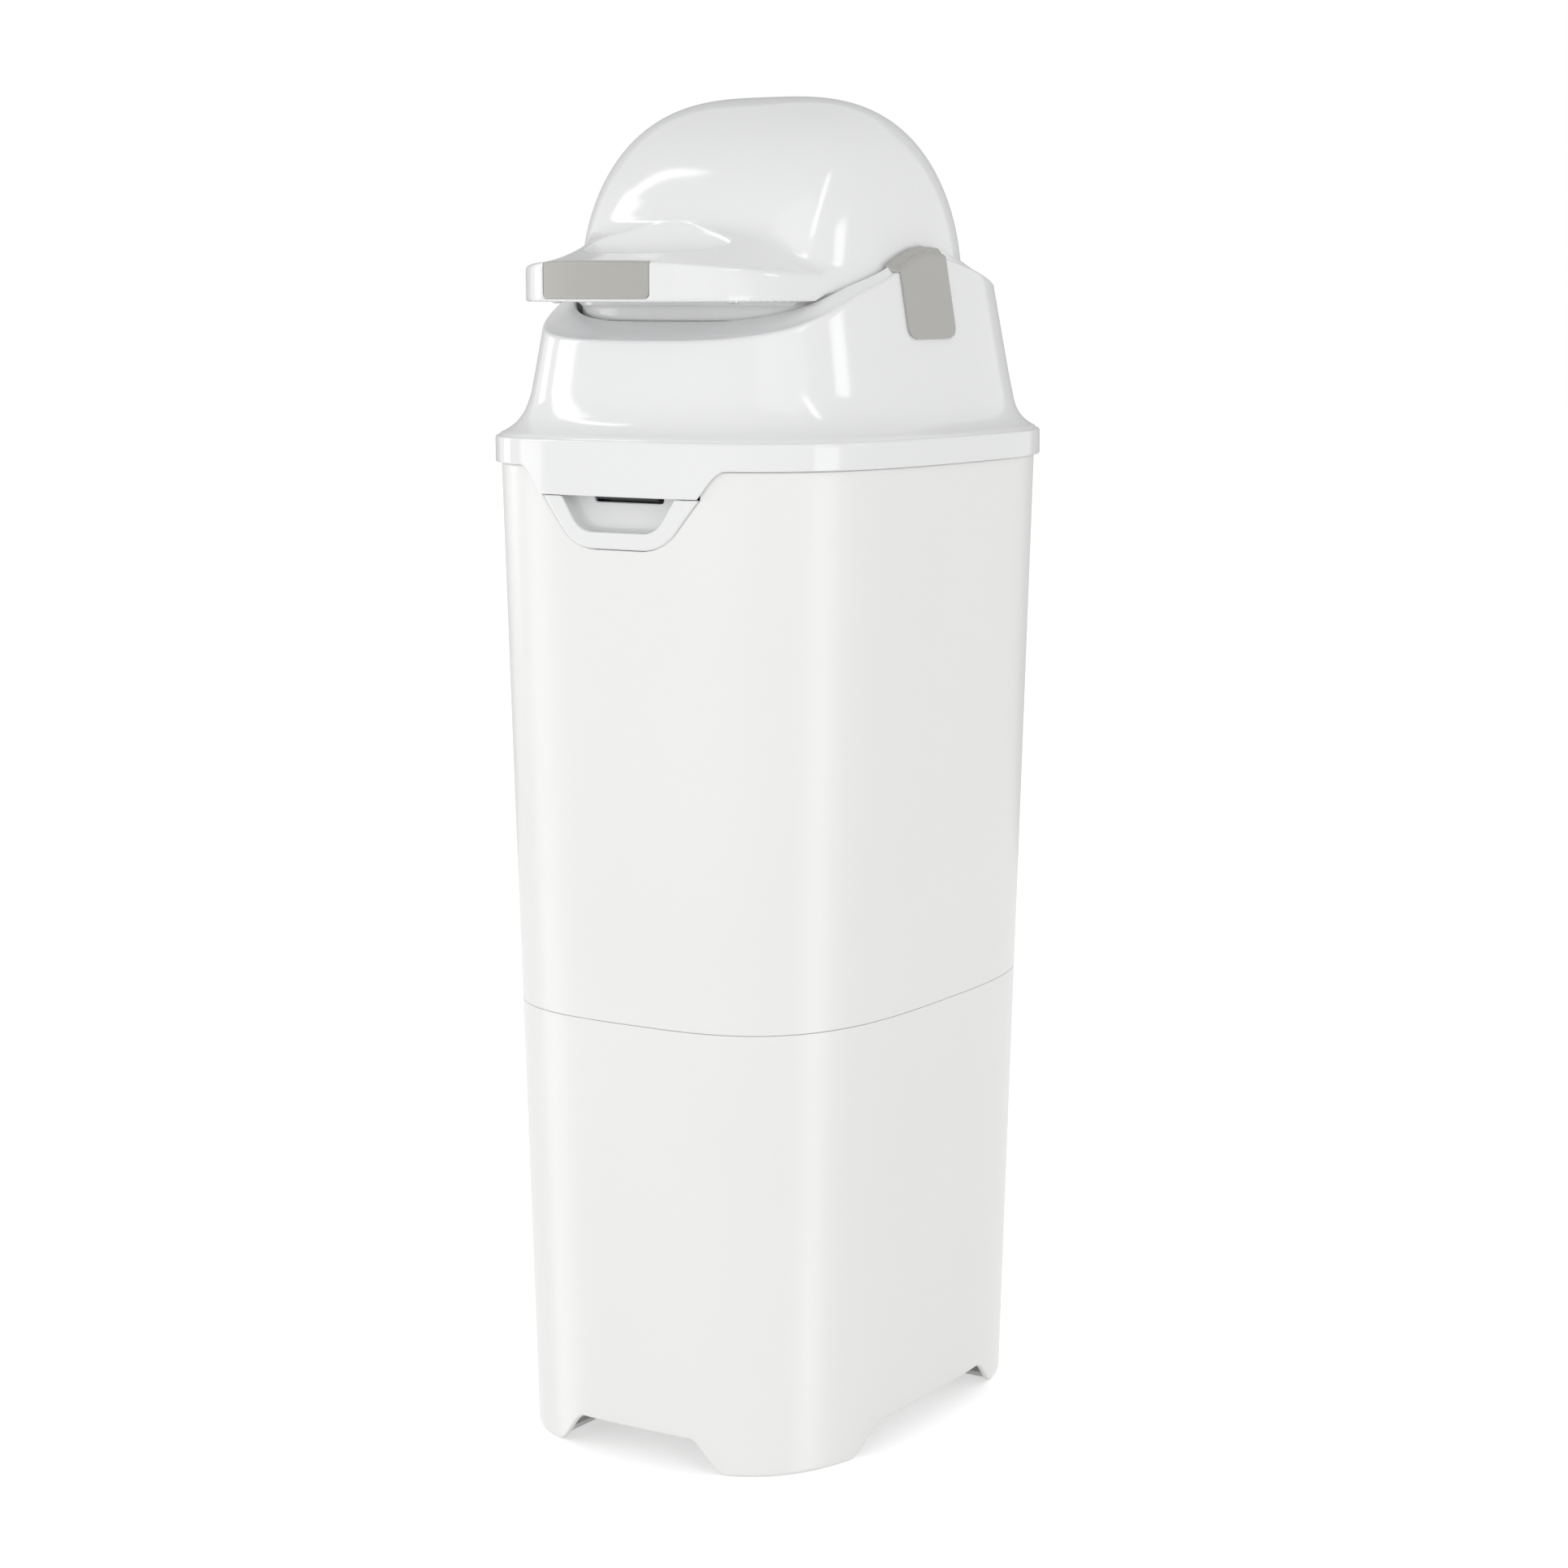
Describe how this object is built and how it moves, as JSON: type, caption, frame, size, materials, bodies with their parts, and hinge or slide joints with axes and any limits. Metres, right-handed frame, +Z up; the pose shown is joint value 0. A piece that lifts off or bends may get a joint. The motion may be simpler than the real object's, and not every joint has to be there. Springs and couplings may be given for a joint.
{
  "type": "nappy bin",
  "caption": "Tall free-standing nappy bin with a tapered two-part body, tip-back lid unit and a domed flip-over drum with visor handle and piston chute.",
  "frame": {"origin": "on the floor under the middle of the body", "axes": "+Z up, -Y to the front where the handle and latch are, +X to a viewer's right when they face the front"},
  "size_m": [0.2368, 0.333, 0.709],
  "materials": {
    "satin_white": "satin, fine moulded grain",
    "gloss_white": "glossy",
    "light_grey": "satin",
    "warm_grey": "satin",
    "soft_grey": "soft touch",
    "black_plastic": "satin",
    "seal_rubber": "matt",
    "steel": "bright zinc"
  },
  "bodies": {
    "bin": {"base_shell": "satin_white", "bin_shell": "satin_white", "latch_cup": "gloss_white", "latch_pin": "steel", "latch_spring": "steel", "bag_ring": "light_grey", "hinge_bracket": "light_grey", "hinge_screws": "steel", "hinge_pin": "steel"},
    "latch": {"latch_lever": "black_plastic"},
    "lid": {"collar_shell": "gloss_white", "lid_underplate": "light_grey", "underplate_screws": "steel", "lid_gasket": "seal_rubber", "drum_seal": "seal_rubber", "seal_retainer": "light_grey", "latch_hook": "black_plastic", "hook_screws": "steel", "bearing_left": "light_grey", "bearing_right": "light_grey", "saddle_clip_left": "warm_grey", "saddle_clip_right": "warm_grey"},
    "drum": {"drum_dome": "gloss_white", "handle_cover": "gloss_white", "cover_screws": "steel", "grip_pad": "soft_grey", "chute_barrel": "gloss_white", "chute_tube": "light_grey", "drum_screws": "steel", "pivot_pin_left": "light_grey", "pivot_pin_right": "light_grey"},
    "piston": {"piston": "light_grey", "piston_seal": "seal_rubber"}
  },
  "joints": [
    {"name": "lid_hinge", "type": "hinge", "parent": "bin", "child": "lid", "pos_m": [0, 0.15699, 0.524], "axis": [-1, 0, 0], "range_deg": [0, 95]},
    {"name": "drum_flip", "type": "hinge", "parent": "lid", "child": "drum", "pos_m": [0, 0, 0.609], "axis": [-1, 0, 0], "range_deg": [0, 160]},
    {"name": "piston_slide", "type": "slide", "parent": "drum", "child": "piston", "axis": [0, 0, 1], "range_m": [0, 0.095]},
    {"name": "latch_press", "type": "hinge", "parent": "bin", "child": "latch", "pos_m": [0, -0.12819, 0.488], "axis": [-1, 0, 0], "range_deg": [0, 10], "stiffness_Nm_per_rad": 0.3, "springref_deg": -20.05, "deforming": ["latch_spring"]}
  ]
}
